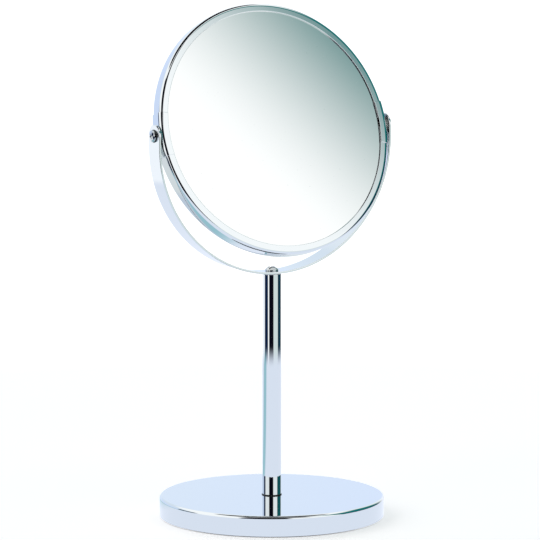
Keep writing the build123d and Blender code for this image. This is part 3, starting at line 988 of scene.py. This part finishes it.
# The patch of the table behind the foot that the chrome shows in teal: its soft edges along Y,
# along X, and along a line that leans by the slope.
PATCH_NEAR = (0.05, 0.12)
PATCH_SIDE = (0.03, -0.08)
PATCH_FAR = (0.20, 0.12)
PATCH_SLOPE = 0.9


def white_table(studio):
    """A white table that fades out at its end. The camera sees it white but for the object's
    own shadow, and the chrome sees it pale blue with a teal patch."""
    around = np.linspace(0, 2 * math.pi, 97)[:-1]
    mesh = bpy.data.meshes.new("table")
    points = np.stack([np.cos(around), np.sin(around), 0 * around], axis=-1) * studio.table_radius
    mesh.from_pydata(points, [], [tuple(range(len(around)))])
    table = bpy.data.objects.new("table", mesh)
    bpy.context.scene.collection.objects.link(table)
    material = bpy.data.materials.new("white_table")
    material.use_nodes = True
    tree = material.node_tree
    tree.nodes.clear()
    place = add(tree, "ShaderNodeTexCoord").outputs["Object"]
    reach = add(tree, "ShaderNodeVectorMath", {"operation": "LENGTH"}, i0=place)
    end = smooth_step(tree, reach.outputs["Value"], studio.table_radius - studio.table_fade,
                      studio.table_radius)
    white = add(tree, "ShaderNodeBsdfDiffuse", Color=studio.table_white)
    path = add(tree, "ShaderNodeLightPath")
    glow = add(tree, "ShaderNodeEmission", Color=opaque(WHITE), Strength=studio.table_glow)
    lit = add(tree, "ShaderNodeAddShader", i0=white.outputs[0], i1=glow.outputs[0])
    shown = add(tree, "ShaderNodeMixShader", i0=path.outputs["Is Camera Ray"],
                i1=white.outputs[0], i2=lit.outputs[0])
    axis = add(tree, "ShaderNodeSeparateXYZ", Vector=place)
    slant = product(tree, axis.outputs[0], PATCH_SLOPE)
    slant = calculated(tree, "ADD", slant, axis.outputs[1])
    patch = product(tree, smooth_step(tree, axis.outputs[1], *PATCH_NEAR),
                    smooth_step(tree, slant, *PATCH_FAR),
                    smooth_step(tree, axis.outputs[0], *PATCH_SIDE))
    tint = mixed(tree, patch, opaque(TABLE_BLUE), opaque(TABLE_TEAL))
    mirrored = add(tree, "ShaderNodeEmission", Color=tint, Strength=studio.table_shine)
    shown = add(tree, "ShaderNodeMixShader", i0=path.outputs["Is Glossy Ray"],
                i1=shown.outputs[0], i2=mirrored.outputs[0])
    clear = add(tree, "ShaderNodeBsdfTransparent")
    surface = add(tree, "ShaderNodeMixShader", i0=end, i1=shown.outputs[0], i2=clear.outputs[0])
    add(tree, "ShaderNodeOutputMaterial", i0=surface.outputs[0])
    mesh.materials.append(material)


class MIRROR_OT_studio(bpy.types.Operator):
    """Set up the camera, the white table and the room"""

    bl_idname = "mirror.studio"
    bl_label = "Studio"

    def execute(self, context):
        scene = context.scene
        studio = scene.mirror_studio
        studio_world(scene)
        white_table(studio)
        turn, lift = studio.azimuth, studio.elevation
        back = Vector((math.sin(turn) * math.cos(lift), -math.cos(turn) * math.cos(lift),
                       math.sin(lift)))
        right = Vector((math.cos(turn), math.sin(turn), 0))
        target = Vector((0, 0, studio.target_height))
        lens = bpy.data.cameras.new("camera")
        camera = bpy.data.objects.new("camera", lens)
        scene.collection.objects.link(camera)
        camera.location = target + back * studio.distance
        aim = target - right * studio.aim_left - Vector((0, 0, studio.aim_down))
        camera.rotation_mode = "QUATERNION"
        camera.rotation_quaternion = (aim - camera.location).to_track_quat("-Z", "Y")
        lens.lens = studio.focal_length
        lens.sensor_width = 36.0
        lens.clip_start = 0.05
        lens.clip_end = 50.0
        scene.camera = camera
        scene.view_settings.view_transform = "Standard"
        return {"FINISHED"}


class MIRROR_PT_panel(bpy.types.Panel):
    """Lists the steps that dress the standing mirror"""

    bl_label = "Standing Mirror"
    bl_idname = "MIRROR_PT_panel"
    bl_space_type = "VIEW_3D"
    bl_region_type = "UI"
    bl_category = "Mirror"

    def draw(self, context):
        layout = self.layout
        for operator in OPERATORS:
            layout.operator(operator.bl_idname)
        for name, (group, title) in GROUPS.items():
            box = layout.box()
            box.label(text=title)
            settings = getattr(context.scene, name)
            for key in group.__annotations__:
                box.prop(settings, key)


GROUPS = {
    "mirror_foot": (FootSizes, "Foot and Post"),
    "mirror_yoke": (YokeSizes, "Yoke"),
    "mirror_screws": (ScrewSizes, "Screws"),
    "mirror_head": (HeadSizes, "Head"),
    "mirror_finishes": (Finishes, "Finishes"),
    "mirror_studio": (StudioSettings, "Studio"),
}
OPERATORS = (
    MIRROR_OT_foot, MIRROR_OT_post, MIRROR_OT_yoke, MIRROR_OT_screws, MIRROR_OT_washers,
    MIRROR_OT_rim, MIRROR_OT_sleeves, MIRROR_OT_mirrors, MIRROR_OT_inside, MIRROR_OT_studio,
)


def register():
    """Register the settings, the operators and the panel."""
    for name, (group, _title) in GROUPS.items():
        bpy.utils.register_class(group)
        setattr(bpy.types.Scene, name, PointerProperty(type=group))
    for operator in OPERATORS:
        bpy.utils.register_class(operator)
    bpy.utils.register_class(MIRROR_PT_panel)


def unregister():
    """Take the panel, the operators and the settings away again."""
    bpy.utils.unregister_class(MIRROR_PT_panel)
    for operator in reversed(OPERATORS):
        bpy.utils.unregister_class(operator)
    for name, (group, _title) in reversed(GROUPS.items()):
        delattr(bpy.types.Scene, name)
        bpy.utils.unregister_class(group)


def main():
    """Dress the frame, piece by piece."""
    register()
    for operator in OPERATORS:
        group, name = operator.bl_idname.split(".")
        getattr(getattr(bpy.ops, group), name)()


if __name__ == "__main__":
    main()
